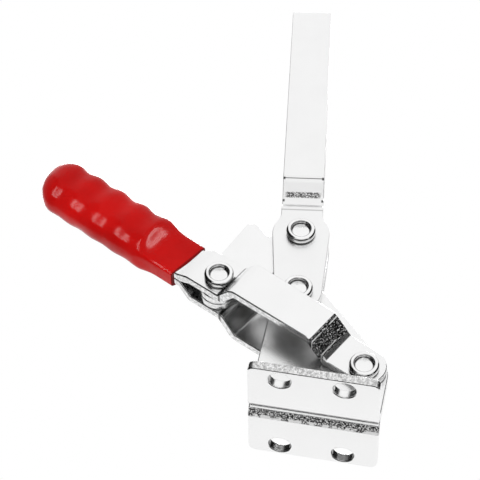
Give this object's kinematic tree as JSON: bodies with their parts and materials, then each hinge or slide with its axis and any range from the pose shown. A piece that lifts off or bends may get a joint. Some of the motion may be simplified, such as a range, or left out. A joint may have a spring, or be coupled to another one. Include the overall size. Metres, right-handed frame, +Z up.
{
  "type": "toggle clamp",
  "caption": "Vertical-handle toggle clamp of pressed plated sheet, with an open bar, a flanged base and a red dipped grip, stored fully open.",
  "frame": {"origin": "underside of the base, midway between its four bolt holes", "axes": "+X the way the bar points when the clamp is closed, +Y across the sheets, +Z up from the base"},
  "size_m": [0.1191, 0.0416, 0.1604],
  "materials": {
    "plated_sheet": "bright zinc-plated pressed sheet, slightly grained at the bends",
    "plated_rivet": "bright plated rivet steel",
    "dipped_grip": "glossy red dipped vinyl"
  },
  "bodies": {
    "base": {"base_plate_left": "plated_sheet", "base_plate_right": "plated_sheet", "handle_base_rivet": "plated_rivet"},
    "handle": {"handle_plate_left": "plated_sheet", "handle_plate_right": "plated_sheet", "handle_grip": "dipped_grip", "handle_link_rivet": "plated_rivet"},
    "link": {"link_plate_left": "plated_sheet", "link_plate_right": "plated_sheet"},
    "bar": {"clamp_bar": "plated_sheet", "bar_link_rivet": "plated_rivet", "bar_base_rivet": "plated_rivet"}
  },
  "joints": [
    {"name": "handle_swing", "type": "hinge", "parent": "base", "child": "handle", "pos_m": [0.0127, 0, 0.01685], "axis": [0, 1, 0], "range_deg": [0, 62.91]},
    {"name": "link_swing", "type": "hinge", "parent": "handle", "child": "link", "pos_m": [-0.03607, 0, 0.04248], "axis": [0, 1, 0], "range_deg": [0, 76.94]},
    {"name": "bar_swing", "type": "hinge", "parent": "link", "child": "bar", "pos_m": [-0.01468, 0, 0.06394], "axis": [0, 1, 0], "range_deg": [-41.96, 0]}
  ],
  "couplings": [
    {"joint": "link_swing", "follows": "handle_swing", "ratio": 1.2227},
    {"joint": "bar_swing", "follows": "handle_swing", "ratio": -0.66657}
  ]
}
